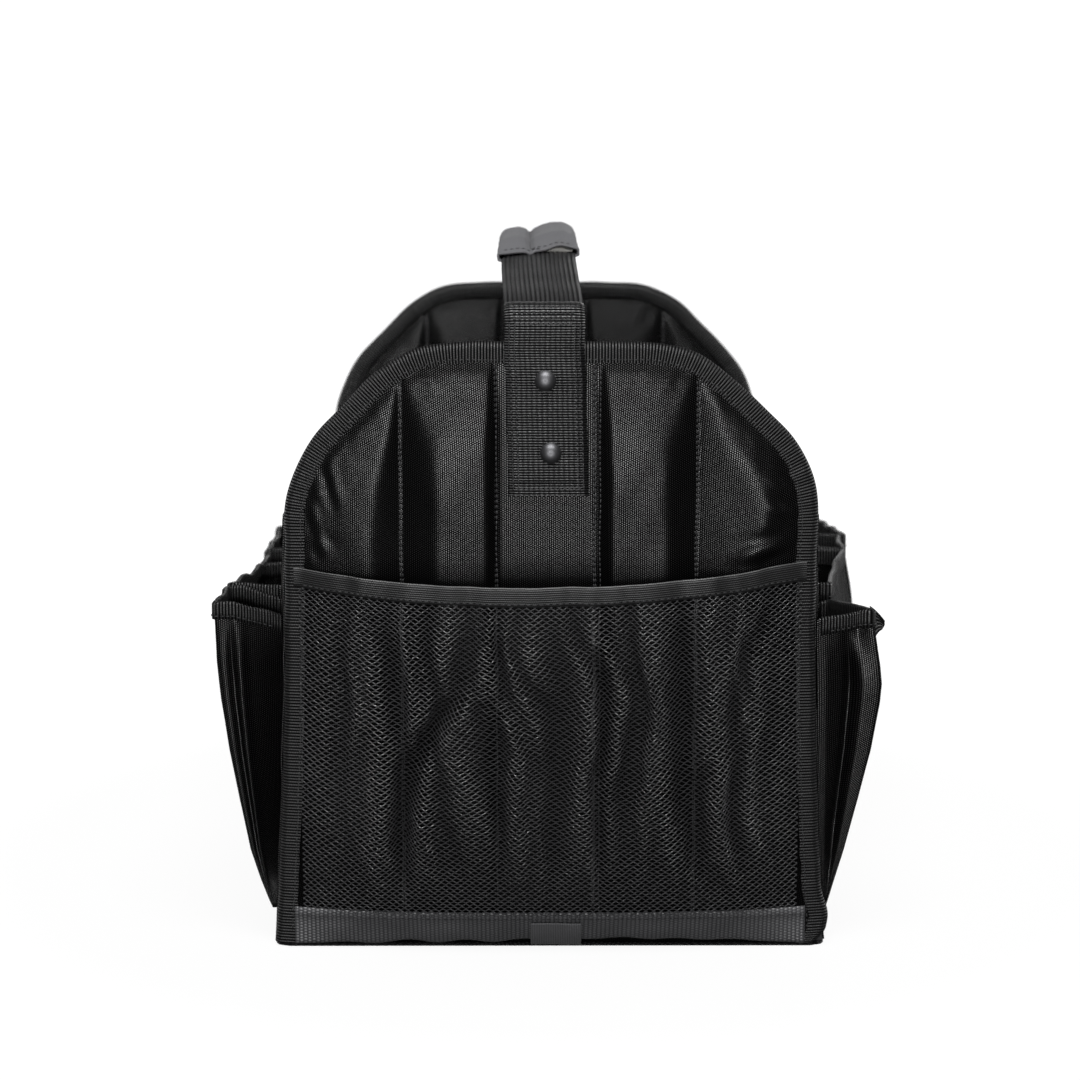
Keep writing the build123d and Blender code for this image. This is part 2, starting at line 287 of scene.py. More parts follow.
MATERIALS = {
    "shell_cloth": make_satin("shell_cloth"),
    # The panel cloth: the shell cloth with painted shade below the net's rim.
    "panel_cloth": make_satin("panel_cloth"),
    "coarse_cloth": make_woven(
        "coarse_cloth", 2.2, 2.0, 0.9, 0.25, 0.02, 0.17, rough=0.45, sheen=0.1, shine=2.4
    ),
    # The base cloth is the coarse cloth's weave in far darker greys: painted shade, for the base's edge that
    # lies in shadow under the foot band.
    "base_cloth": make_woven("base_cloth", 2.2, 2.0, 0.9, 0.25, 0.003, 0.02, shine=0.4),
    "binding_tape": make_woven(
        "binding_tape", 1.55, 0.9, 0.25, 0.3, 0.0004, 0.010, rough=0.48, sheen=0.02, shine=1.1, crest=4.0
    ),
    "elastic_tape": make_woven(
        "elastic_tape", 1.1, 0.9, 0.35, 0.16, 0.002, 0.016, turned=True, rough=0.48, sheen=0.03, shine=1.4
    ),
    "tab_tape": make_woven("tab_tape", 0.9, 0.8, 0.3, 0.16, 0.06, 0.15, rough=0.6, sheen=0.2, shine=1.2),
    "webbing": make_woven(
        "strap_webbing", 1.33, 2.55, 0.2, 0.3, 0.0003, 0.010, yarn=0.6, stagger=0.0, rough=0.42, sheen=0.02,
        shine=0.36, crest=7.0,
    ),
    "handle_webbing": make_woven(
        "handle_webbing", 2.62, 1.5, 0.25, 0.6, 0.003, 0.024, yarn=0.35, turned=True, rough=0.55, sheen=0.05,
        shine=0.85,
    ),
    "grip_cloth": make_woven(
        "grip_cloth", 0.55, 0.55, 0.5, 0.05, 0.135, 0.21, rough=0.75, sheen=0.05, shine=0.15
    ),
    "foam": make_plain("foam", 0.9, 0.3, (0.42, 0.41, 0.38), (0.74, 0.73, 0.70), 0.9),
    "netting": make_netting(),
    "thread": make_thread(),
    "rivet_metal": make_rivet_metal(),
    "stiffener_board": make_plain("stiffener_board", 0.5, 0.1, grey(0.03), grey(0.08), 0.6),
}


# ---- Meshes ----
def quads(rows, columns, first=0):
    """Faces of a grid of points stored row by row."""
    i = first + np.arange(rows * columns).reshape(rows, columns)
    return np.stack([i[:-1, :-1], i[:-1, 1:], i[1:, 1:], i[1:, :-1]], axis=-1).reshape(-1, 4)


def make_piece(name, points, faces, uvs, material, thickness=0):
    """One object. A thickness is added behind the faces."""
    mesh = bpy.data.meshes.new(name)
    mesh.from_pydata((np.asarray(points) * MM).tolist(), [], faces)
    layer = mesh.uv_layers.new(name="UVMap")
    corner = np.zeros(len(mesh.loops), np.int32)
    mesh.loops.foreach_get("vertex_index", corner)
    layer.data.foreach_set("uv", np.asarray(uvs, np.float32)[corner].ravel())
    mesh.polygons.foreach_set("use_smooth", np.ones(len(mesh.polygons), bool))
    mesh.materials.append(MATERIALS[material])
    piece = bpy.data.objects.new(name, mesh)
    bpy.context.scene.collection.objects.link(piece)
    if thickness:
        solid = piece.modifiers.new("thickness", "SOLIDIFY")
        solid.thickness = thickness * MM
        solid.offset = -1
        apply_modifiers(piece)
    return piece


def apply_modifiers(piece):
    """Makes the mesh what its modifiers show."""
    graph = bpy.context.evaluated_depsgraph_get()
    mesh = bpy.data.meshes.new_from_object(piece.evaluated_get(graph))
    piece.modifiers.clear()
    piece.data = mesh
    mesh.polygons.foreach_set("use_smooth", np.ones(len(mesh.polygons), bool))


def make_sheet(name, grid, uv, material, thickness, flip=False, keep=None):
    """A cloth sheet from a grid of points, (rows, columns, 3), and from its grids of U and V. keep says which
    points stay."""
    rows, columns = grid.shape[:2]
    uv = np.broadcast_to(joined(*uv), (rows, columns, 2))
    faces = quads(rows, columns)
    if keep is not None:
        faces = faces[keep.ravel()[faces].all(axis=1)]
    if flip:
        faces = faces[:, ::-1]
    used, faces = np.unique(faces, return_inverse=True)
    faces = faces.reshape(-1, 4).tolist()
    return make_piece(name, grid.reshape(-1, 3)[used], faces, uv.reshape(-1, 2)[used], material, thickness)


def make_bar(name, rings, material):
    """A closed bar through rings of points, (stations, points round, 3), with flat ends. Its UVs are the
    length along it, and the length round it."""
    stations, around = rings.shape[:2]
    closed = np.concatenate([rings, rings[:, :1]], axis=1)
    uv = joined(lengths(rings.mean(axis=1))[:, None], lengths(closed[stations // 2]))
    points = np.concatenate([closed.reshape(-1, 3), rings[0], rings[-1]])
    first = stations * (around + 1)
    ends = [list(range(first, first + around))[::-1], list(range(first + around, first + 2 * around))]
    faces = quads(stations, around + 1)[:, ::-1].tolist() + ends
    uvs = np.concatenate([uv.reshape(-1, 2), uv[0, :-1], uv[-1, :-1]])
    return make_piece(name, points, faces, uvs, material)


# ---- Stitches: gathered here as lines, and made at the end, one piece for each body ----
STITCHES = {}
# Each kind of row: the stitches' pitch and length, and the thread's radius.
STITCH_STYLES = {
    "panel_seam": (2.7, 2.3, 0.46),
    "tape": (2.9, 2.0, 0.3),
    "strap_edge": (2.7, 2.0, 0.36),
    "strap_cross": (2.4, 1.9, 0.38),
    "grip_hem": (3.2, 2.2, 0.3),
    "grip_seam": (3.0, 2.1, 0.3),
    "net_rim": (3.2, 2.3, 0.28),
    "foot_band": (3.1, 2.2, 0.3),
    "floor": (3.4, 2.4, 0.3),
}


def sew(body, line, normal, style):
    """A row of stitches along a line of points. normal points out of the cloth."""
    pitch, length, radius = STITCH_STYLES[style]
    line = np.asarray(line, float)
    run = lengths(line)
    at = np.arange(pitch / 2, run[-1], pitch)
    normals = np.broadcast_to(np.asarray(normal, float), line.shape)
    along = unit(points_at(line, run, at + 0.6) - points_at(line, run, at - 0.6))
    up = unit(points_at(normals, run, at))
    STITCHES.setdefault(body, []).append((points_at(line, run, at), along, up, length, radius))


def make_stitches():
    """One piece of thread for each body that has stitches."""
    sides = np.linspace(0, 2 * math.pi, 5, endpoint=False)
    template = []
    for along, girth, sink in ((-0.5, 0.3, -0.8), (-0.28, 1, 0), (0.28, 1, 0), (0.5, 0.3, -0.8)):
        template.append([(along, girth * math.cos(a), girth * math.sin(a) + sink) for a in sides])
    template = np.array(template)
    ring = quads(4, 6)
    ring = (ring // 6) * 5 + (ring % 6) % 5
    for body, rows in STITCHES.items():
        points, faces, uvs = [], [], []
        count = 0
        for mid, along, up, length, radius in rows:
            across = np.cross(along, up)
            shape = (
                mid[:, None, None]
                + template[None, ..., 0:1] * length * along[:, None, None]
                + template[None, ..., 1:2] * radius * across[:, None, None]
                + template[None, ..., 2:3] * radius * up[:, None, None]
            )
            points.append(shape.reshape(-1, 3))
            firsts = count + 20 * np.arange(len(mid))
            faces.append((ring[None] + firsts[:, None, None]).reshape(-1, 4))
            uvs.append(np.tile(template[..., :2].reshape(-1, 2) * (length, radius), (len(mid), 1)))
            count += 20 * len(mid)
        piece = make_piece(
            f"{body}_stitches",
            np.concatenate(points),
            np.concatenate(faces)[:, ::-1].tolist(),
            np.concatenate(uvs),
            "thread",
        )
        attach(piece, body)


# ---- How the soft pieces follow the bodies ----
def flexes():
    """For each moving cloth body, the two points between which its cloth goes from fixed to moving."""
    found = {}
    for side, sign in SIDES.items():
        for number in POCKETS:
            body = f"{side}_pocket_{number}_body"
            found[body] = ((sign * 0.137, 0, 0), (sign * 0.160, 0, 0))
    for end, sign in ENDS.items():
        found[f"{end}_net_pocket"] = ((0, sign * 0.1815, 0), (0, sign * 0.198, 0))
    return found


FLEXES = flexes()


def attach(piece, body, *nodes):
    """The piece rides on its body, or, if the body is a pocket's cloth (one in FLEXES), keeps its place with
    its transform baked in and no parent. It is shown instead of the CAD nodes named."""
    if body in FLEXES:
        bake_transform(piece)
    else:
        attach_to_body(piece, body)
    if nodes:
        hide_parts(*nodes)


# ---- The end panels' outline, taken from the stiffener board ----
def board_outline():
    """The end panel's edge from the left foot over the top to the right foot, as (x, z) every millimetre."""
    co = np.array([v.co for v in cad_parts["front_stiffener_board"].data.vertices]) / MM
    flat = co[:, [0, 2]]
    hole = (abs(flat[:, 0]) < 10) & (flat[:, 1] < 308)
    flat = np.unique(np.round(flat[~hole], 2), axis=0)
    middle = (0, 120)
    angle = np.arctan2(flat[:, 1] - middle[1], flat[:, 0] - middle[0])
    angle = np.where(angle < -math.pi / 2, angle + 2 * math.pi, angle)
    line = resample(flat[np.argsort(-angle)], spacing=1.0)
    return smooth(line, 12)


OUTLINE = board_outline()
OUTLINE_SIDE = unit(np.gradient(OUTLINE, axis=0))[:, ::-1] * (1, -1)  # points into the panel
FACE_Y = -node_box("front_stiffener_board")[0][1] + 1.2
INNER_Y = -node_box("front_stiffener_board")[1][1] - 1.2


def edge_distance(x, z):
    """How far points are from the panel's edge; the foot doesn't count."""
    found = np.full(x.shape, 1e9)
    for px, pz in OUTLINE[::4]:
        found = np.minimum(found, (x - px) ** 2 + (z - pz) ** 2)
    return np.sqrt(found)


def on_end(end, x, out, z):
    """Points of an end panel: x, how far outside the panel's outer face, and height. The front panel's right
    shoulder is a little full."""
    if end == "front":
        x = x + 3.0 * bump(z, 258, 36) * ease(60, 115, x)
    return joined(x, ENDS[end] * (FACE_Y + out), z)


# ---- End panel cloth ----
TRIPLE_SEAM = 25.0  # the one seam with three rows of stitches
SEAMS = (-75.0, -27.5, TRIPLE_SEAM, 73.5)
# Each loose channel: its two seams, how far it stands out, and how wide the slope beside each seam is at some
# heights.
CHANNELS = (
    (-132.0, -75.0, 6.8, ((0, 4), (300, 4)), ((0, 18), (205, 17), (250, 12), (290, 6))),
    (-75.0, -27.5, 8.6, ((0, 15), (200, 18), (300, 18)), ((0, 2.4), (300, 2.4))),
    (25.0, 73.5, 8.6, ((0, 5), (300, 4)), ((0, 16), (200, 14), (300, 17))),
    (73.5, 132.0, 8.6, ((0, 28), (200, 34), (300, 34)), ((0, 4), (300, 4))),
)
# Folds in the outer channels: start, end, width and height.
FOLDS = (
    ((-116, 254), (-107, 224), 2.3, -2.4),
    ((-123, 226), (-114, 196), 2.3, -2.4),
    ((-124, 236), (-103, 240), 3.0, 1.0),
    ((-124, 246), (-110, 268), 2.2, 1.3),
    ((-121, 215), (-108, 205), 2.8, 1.6),
    ((-92, 296), (-84, 270), 3.0, 1.2),
    ((124, 234), (101, 250), 2.6, 2.0),
    ((124, 226), (103, 232), 2.4, 1.6),
    ((118, 262), (104, 272), 2.4, 1.4),
    ((122, 214), (84, 202), 3.2, 1.8),
    ((90, 298), (82, 276), 3.0, 1.2),
    ((-66, 302), (-52, 286), 3.2, 1.3),
    ((64, 302), (50, 284), 3.2, 1.3),
)


def fold(x, z, start, end, width, height):
    """A soft fold along a line, highest near its start and fading to its end, with a hollow on each side."""
    way_x, way_z = end[0] - start[0], end[1] - start[1]
    t = ((x - start[0]) * way_x + (z - start[1]) * way_z) / (way_x**2 + way_z**2)
    near = np.clip(t, 0, 1)
    away = np.hypot(x - start[0] - near * way_x, z - start[1] - near * way_z)
    shape = bump(away, 0, width) - 0.45 * bump(away, 1.9 * width, width)
    return height * shape * (1 - ease(0.2, 1.0, t))


def channel_height(x, z, distance, seed):
    """How far the loose cloth stands out from the panel."""
    height = np.zeros_like(x)
    for low_x, high_x, tall, low_slope, high_slope in CHANNELS:
        left = (x - low_x) / np.interp(z, *zip(*low_slope))
        right = (high_x - x) / np.interp(z, *zip(*high_slope))
        height = np.maximum(height, tall * np.clip(np.minimum(left, right), 0, 1))
    height = height * (1 + 0.06 * ripple(seed, 90, x, z))
    steep = 0.18 + 0.34 * bump(z, 231, 24) * ease(80, 100, x) + 0.3 * ease(170, 60, z)
    room = 1.2 + steep * np.clip(distance - 11 + 0.6 * ripple(seed + 1, 22, x, z), 0, None)
    height = height * room / (np.maximum(height, 1e-6) ** 6 + room**6) ** (1 / 6)
    height = height * ease(9.8, 12.4, distance)
    return height * ease(-5, 60, z)


def blur(values, across, down):
    """Smooths a grid of numbers across and down it."""
    return smooth(smooth(values.T, across).T, down)


def seam_groove(x):
    """1 on a seam, and 0 away from it."""
    return sum(bump(x, s, 1.1) for s in SEAMS)


def panel_surface(seed):
    """Grid of x, z, height and distance from the edge for one layer of panel cloth."""
    bounds = (-139.0, *SEAMS, 139.0)
    columns = [np.linspace(a, b, round((b - a) / 1.6), endpoint=False) for a, b in zip(bounds, bounds[1:])]
    x, z = np.meshgrid(np.concatenate([*columns, [139.0]]), np.arange(2.0, 311.5, 1.9))
    distance = edge_distance(x, z)
    inside = (distance > 4) & (abs(x) < np.interp(z, *half_width_table()))
    height = blur(channel_height(x, z, distance, seed), 2, 1)
    loose = np.clip(height / 5, 0, 1)
    height = height + loose * 0.13 * ripple(seed + 2, 18, x, z * 0.45)
    height = height + loose * 0.3 * bump(distance, 15, 8) * ripple(seed + 3, 9, x, z * 0.3)
    for start, end, width, tall in FOLDS:
        height = height + loose * fold(x, z, start, end, width, tall)
    return x, z, height - 0.7 * seam_groove(x), distance, inside


def half_width_table():
    """Heights and the panel's half width there, for numpy.interp."""
    right = OUTLINE[OUTLINE[:, 0] > 0]
    right = right[np.argsort(right[:, 1])]
    return right[:, 1], right[:, 0]


def make_panel_cloth(end, layer, seed):
    """The outer or the inner cloth of an end panel, with its seams' stitches."""
    x, z, height, distance, inside = panel_surface(seed)
    if layer == "face":
        way, node = ENDS[end], f"{end}_face_cloth"
        out = 0.65 + np.maximum(height, -0.6)
    else:
        way, node = -ENDS[end], f"{end}_lining"
        out = INNER_Y - FACE_Y - 0.65 - np.maximum(0.8 * height, -0.6)
    points = on_end(end, x, out, z)
    run = row_lengths(x, height)
    uv = (run - run[:, run.shape[1] // 2, None], z)
    piece = make_sheet(f"{end}_panel_{layer}", points, uv, "panel_cloth", 0.6, flip=way > 0, keep=inside)
    attach(piece, BODY, node)
    for seam in SEAMS:
        column = np.argmin(abs(x[0] - seam))
        rows = inside[:, column] & (distance[:, column] > 9) & (z[:, column] > 6)
        for offset in (-3.4, -2.5, 0.0) if seam == TRIPLE_SEAM else (-0.55, 0.55):
            line = points[rows, column] + (offset, way * 0.35, 0)
            line[:, 0] += 0.35 * ripple(seed + 9, 60, line[:, 2])
            sew(BODY, line, (0, way, 0), "panel_seam")


# ---- Bindings ----
EDGE_TAPE = (10.3, 0.9)  # width on each face of the panel, and thickness
EDGE_STITCH = 8.6  # from the panel's edge to the row of stitches


def tape_ring(width, gap, thickness):
    """Section of a tape folded over an edge, as (inset from the edge, side -1..1 as a length): it runs
    from the front lip round the edge to the back lip, and back inside."""
    half = gap / 2
    outer_half = half + thickness
    inner_edge = thickness + 0.3
    outer = [(width, -outer_half), (width * 0.6, -outer_half * 1.02), (outer_half, -outer_half)]
    for angle in np.linspace(-1.35, 1.35, 5):
        outer.append((outer_half * (1 - math.cos(angle)), outer_half * math.sin(angle)))
    outer += [(outer_half, outer_half), (width * 0.6, outer_half * 1.02), (width, outer_half)]
    inner = [(width + 0.25, half), (inner_edge, half * 0.9), (inner_edge, -half * 0.9), (width + 0.25, -half)]
    return np.array(outer + inner)


def pucker(run, seed):
    """Small uneven gathers along a tape."""
    return 0.6 * ripple(seed, 7, run) + 0.5 * ripple(seed + 1, 19, run)


def gathered(section, lips, faces):
    """A tape's section at every station along it: how far in each point reaches, its lips pulled by the share
    lips, and how far faces moves each side."""
    reach, side = section[None, :, 0], section[None, :, 1]
    return reach * (1 + lips[:, None] * (reach > 5)), np.sign(side) * faces[:, None]


def make_edge_binding(end, seed):
    """The ribbed tape folded over an end panel's edge, with a row of stitches on each side."""
    line = OUTLINE - OUTLINE_SIDE * 0.8
    run = lengths(line)
    angle = np.unwrap(np.arctan2(OUTLINE_SIDE[:, 1], OUTLINE_SIDE[:, 0]))
    curved = smooth(np.clip(np.abs(np.gradient(angle, run)) / 0.02, 0, 1), 30)
    width, thickness = EDGE_TAPE
    section = tape_ring(width, FACE_Y - INNER_Y + 1.2, thickness)
    lips = (0.035 + 0.05 * curved) * pucker(run, seed)
    inset, lift = gathered(section, lips, (0.15 + 0.5 * curved) * pucker(run, seed + 2))
    inset = inset + 0.35 * ripple(seed + 3, 45, run)[:, None]
    x = line[:, :1] + OUTLINE_SIDE[:, :1] * inset
    z = line[:, 1:] + OUTLINE_SIDE[:, 1:] * inset
    if end == "front":
        # The right foot bulges, and is rounded below.
        x = x + (2.6 * bump(z, 17, 9) - 5.5 * ease(9, -1, z)) * (x > 100)
    side = section[None, :, 1]
    rings = on_end(end, x, (INNER_Y - FACE_Y) / 2 - side - 0.5 * lift * (abs(side) > 3), z)
    if end == "back":
        rings = rings[:, ::-1]
    attach(make_bar(f"{end}_panel_binding", rings, "binding_tape"), BODY, f"{end}_edge_binding")
    stitch = line + OUTLINE_SIDE * (EDGE_STITCH + 0.25 * ripple(seed + 4, 30, run)[:, None])
    for way, out in ((1, 1.75), (-1, INNER_Y - FACE_Y - 1.75)):
        row = on_end(end, stitch[8:-8, 0], out, stitch[8:-8, 1])
        sew(BODY, row, (0, ENDS[end] * way, 0), "tape")


# ---- Riveted straps ----
STRAP_WIDTH = 40.0


def flat_section(width, thickness, count=19):
    """Section of a flat band, as (across, out), with softly rounded edges."""
    across = np.linspace(-1, 1, count)
    out = (1 - np.abs(across) ** 9) ** 0.5 * thickness / 2
    outer, inner = joined(across * width / 2, out), joined(across * width / 2, -out)
    return np.concatenate([outer, inner[-2:0:-1]])


def band_rings(path, across, section):
    """Rings for a flat band along a path; across is the direction of its width."""
    across = unit(np.broadcast_to(across, path.shape))
    out = unit(np.cross(across, unit(np.gradient(path, axis=0))))
    return path[:, None] + section[None, :, :1] * across[:, None] + section[None, :, 1:] * out[:, None]


def make_strap(end, seed):
    """The riveted strap, from its foot up the panel and over the panel's top."""
    foot = node_box(f"{end}_strap")[0][2]
    rise = [(2.5, foot), (2.3, foot + 40), (2.3, 320)]
    over_the_top = [(1.9, 325), (-0.2, 329.3), (-3, 331), (-6.6, 331.4)]
    out, z = smooth(resample(rise + over_the_top, spacing=0.8), 4).T
    x = np.interp(z, (foot, 330), (-0.7, -3.3)) + 0.25 * ripple(seed, 40, z)
    path = on_end(end, x, out + 0.15 * ripple(seed + 1, 25, z), z)
    section = flat_section(STRAP_WIDTH, 2.3)
    rings = band_rings(path, (-ENDS[end], 0, 0), section)
    edges = np.sign(section[:, 0]) * (abs(section[:, 0]) > STRAP_WIDTH / 2 - 1)
    rings[:, :, 0] += 0.22 * ripple(seed + 2, 4, z)[:, None] * edges
    attach(make_bar(f"{end}_strap_webbing", rings, "webbing"), BODY, f"{end}_strap")
    normal = unit(np.cross((-ENDS[end], 0, 0), np.gradient(path, axis=0)))
    rows = slice(4, int(len(path) * 0.86))
    for place in (-17.6, -14.9, 14.9, 17.6):
        sew(BODY, (path + normal * 1.3 + (place, 0, 0))[rows], normal[rows], "strap_edge")
    for row, reach in ((5, 17), (9, 17), (108, 15), (111, 16), (114, 16), (118, 17)):
        line = path[row] + normal[row] * 1.35 + np.linspace(-reach, reach, 40)[:, None] * (1, 0, 0)
        sew(BODY, line, normal[row], "strap_cross")


# ---- Handle ----
GRIP_LEAN = math.radians(4)
GRIP_REACH = 21.6  # half the grip's width
GRIP_HALF = node_box("grip_sleeve")[1][1]
WEBBING_Z = node_box("handle_webbing")[1][2] - 1.1
HANDLE_X = -5.7  # the grip's middle, a little to the left
RIB_PITCH = 2.62


def handle_path(sign):
    """One half of the handle webbing's middle line, from under a strap to inside the grip."""
    y = np.array([177.5, 174.5, 170, 160, 140, 115, 90, 62, 40, 12.0])
    z = np.array([324.5, 327.6, 329.8, 332.4, 336.4, 340.8, 344.6, 347.0, 347.2, 347.2])
    x = np.array([-3.3, -3.3, -3.4, -3.6, -4.2, -4.9, -5.4, HANDLE_X, HANDLE_X, HANDLE_X])
    line = smooth(resample(joined(x, sign * y, z), spacing=1.2), 12)
    line[:, 2] += 0.35 * ripple(71 + sign, 50, line[:, 1])
    return line


def make_handle_webbing(end):
    """Half of the ribbed handle webbing. Its root bends, from the strap to the handle."""
    path = handle_path(ENDS[end])
    from_middle = abs(path[:, 1])
    tilt = GRIP_LEAN * ease(175, 70, from_middle)
    across = joined(-ENDS[end] * np.cos(tilt), 0, -ENDS[end] * np.sin(tilt))
    section = flat_section(39.6, 2.2, count=61)
    section[:, 1] += 0.32 * np.cos(2 * math.pi * section[:, 0] / RIB_PITCH) * np.sign(section[:, 1])
    rings = band_rings(path, across, section)
    rings[:, :, 2] -= 0.9 * (section[None, :, 0] / 20) ** 2 * ease(160, 90, from_middle)[:, None]
    webbing = make_bar(f"{end}_handle_webbing", rings, "handle_webbing")
    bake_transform(webbing)
    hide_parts("handle_webbing")


# The grip's padding: its height across the grip, and where the seam along its top lies.
GRIP_LOBES = (
    (-21.6, 6.6), (-18, 7.6), (-10, 7.7), (-6.5, 6.6), (-4, 5.6), (-1.5, 6.3), (3, 7.9), (8, 8.9), (15, 8.9),
    (21.6, 7.0),
)
GRIP_SEAM = -4.0


def grip_shape(y, around, shrink=0.0):
    """The grip's skin: stations y, and positions 0..1 round it from the middle of its underside."""
    y, a = np.meshgrid(y, around, indexing="ij")
    angle = 2 * math.pi * np.linspace(0, 1, 4001) - math.pi / 2
    section = joined(GRIP_REACH * np.sign(np.cos(angle)) * np.abs(np.cos(angle)) ** 0.45, 5 * np.sin(angle))
    run = lengths(section)
    angle = np.interp(a * run[-1], run, angle)
    up = np.sin(angle)
    half = GRIP_REACH - shrink + 0.4 * ripple(31, 40, y, 20 * a)
    x = half * np.sign(np.cos(angle)) * np.abs(np.cos(angle)) ** 0.45
    inward = GRIP_HALF - abs(y)
    full = ease(-1, 24, inward) ** 0.7
    top = 1.3 - shrink + full * np.interp(x, *zip(*GRIP_LOBES)) + 2.4 * bump(x, 12, 6) * ease(12, -1, inward)
    z = np.where(up > 0, 1.2 + top * np.clip(up, 0, 1) ** 0.4, 1.2 - 3.4 * np.clip(-up, 0, 1) ** 0.4)
    wrinkles = 0.25 * ripple(32, 24, x, y * 0.8) * full
    wrinkles = wrinkles + 0.25 * ripple(33, 8, x * 0.7, y) * bump(inward, 6, 9)
    z = z + np.clip(up * 2, 0, 1) * (wrinkles - 1.5 * bump(x, GRIP_SEAM, 1.5))
    return x, y, z


def lean(x, y, z):
    """Points of the grip, in its own place on the leaning webbing."""
    c, s = math.cos(GRIP_LEAN), math.sin(GRIP_LEAN)
    return joined(HANDLE_X + c * x - s * z, y, WEBBING_Z + s * x + c * z)


def make_grip():
    """The padded sleeve, its padding, and its stitches."""
    x, y, z = grip_shape(np.linspace(-GRIP_HALF - 0.5, GRIP_HALF + 0.5, 130), np.linspace(0, 1, 97))
    flare = bump(GRIP_HALF - abs(y), 0, 2.5)
    points = lean(x * (1 + 0.015 * flare), y + 0.9 * ripple(33, 20, x) * flare, z + 0.5 * flare * np.sign(z))
    sleeve = make_sheet("grip_sleeve_cloth", points, (row_lengths(x, z), y), "grip_cloth", 1.1, flip=True)
    attach(sleeve, "handle", "grip_sleeve")
    out = unit(np.cross(np.gradient(points, axis=1), np.gradient(points, axis=0)))
    out *= np.sign((out * (points - lean(0, y, 4))).sum(-1, keepdims=True).mean())
    upper = slice(30, -30)
    for row in (5, -6):
        sew("handle", points[row, upper] + out[row, upper] * 0.1, out[row, upper], "grip_hem")
    seam = np.argmin(np.where(z > 3, abs(x - GRIP_SEAM), 99), axis=1)
    line = points[np.arange(len(points)), seam]
    sew("handle", smooth(line, 4)[1:-1] + (0, 0, 0.2), (0, 0, 1), "grip_seam")
    x, y, z = grip_shape(np.linspace(-GRIP_HALF + 0.6, GRIP_HALF - 0.6, 60), np.linspace(0, 1, 49)[:-1], 1.6)
    # Left of the seam the padding ends deep inside the sleeve.
    back = np.where(0.93 * x < 4, 34.0, 1.0) * np.sign(y) * (abs(y) > GRIP_HALF - 36)
    skin = lean(0.93 * x, y - back, np.maximum(z, 1.4 + 0.2 * z) - 0.2)
    attach(make_bar("grip_padding", skin[:, ::-1], "foam"), "handle", "grip_foam")


# ---- Net pockets ----
NET_HALF = node_box("front_net")[1][0]
NET_FOOT = 20.5
NET_TOP = 192.5  # where the rim's ends hold it
NET_HALF_CELL = (1.95, 1.5)  # half a cell's width along the folds, and half its height
# Section of the elastic rim, as shares of its half height and of its thickness.
RIM_SECTION = (
    (-1, -0.6), (-0.95, 0.75), (-0.5, 0.9), (0, 0.95), (0.5, 0.9), (0.93, 0.8), (1, 0.2), (1, -0.5), (0, -0.8)
)


def rim_sag(x):
    """How far the elastic rim hangs below the height of its ends."""
    return 8.5 * (1 - (x / NET_HALF) ** 2) - 1.6 * x / NET_HALF


# Deep folds of the net: their places at some heights, depth and width.
NET_VALLEYS = (
    (((52, -76), (118, -76), (170, -83), (195, -84)), 5.0, 5.5),
    (((60, -76), (101, -70), (118, -62), (137, -48), (170, -43), (195, -42)), 5.5, 5.0),
    (((30, -25), (100, -25), (195, -26)), 2.2, 3.5),
    (((60, 2), (120, 4), (195, 7)), 3.5, 8.0),
    (((30, 25), (195, 25)), 2.5, 3.5),
    (((30, 82), (49, 75), (85, 70), (171, 66), (195, 66)), 6.0, 7.0),
    (((30, 99), (68, 93), (126, 93), (156, 97), (179, 109), (195, 112)), 5.0, 4.0),
    (((40, -104), (110, -106), (195, -101)), 2.5, 6.0),
)


def net_surface(end, x, t, seed):
    """Points of the net: x across, t from 0 at its foot to 1 at the rim."""
    z = NET_FOOT + t * (NET_TOP - rim_sag(x) - NET_FOOT)
    plan = 1 - (np.abs(x) / NET_HALF) ** 3.2
    out = 2.6 + plan * (12.5 + 6.5 * t + 6.0 * np.sin(math.pi * np.clip(t, 0, 1)) ** 0.8)
    warped = x + 9 * ripple(seed, 130, x, z) + 4 * ripple(seed + 1, 50, x, z)
    wide = ripple(seed + 2, 26, warped)
    tight = ripple(seed + 3, 11, warped + 0.04 * z)
    grip = np.clip(np.sin(math.pi * np.clip(0.06 + 0.93 * t, 0, 1)), 0, 1) ** 0.6 * plan
    out = out + grip * (4.0 * wide * ease(0.05, 0.5, t) + 2.6 * tight * ease(0.4, 0.9, t) + 1.1 * tight)
    mirror = -ENDS[end]
    for places, depth, width in NET_VALLEYS:
        away = mirror * x - np.interp(z, *zip(*places))
        cut = bump(away, 0, width) - 0.35 * bump(abs(away), 2.1 * width, width)
        out = out - 1.4 * depth * cut * plan * ease(0.03, 0.3, t) * (1 - 0.85 * ease(0.8, 1, t))
    return on_end(end, x, np.maximum(out, 2.0), z)


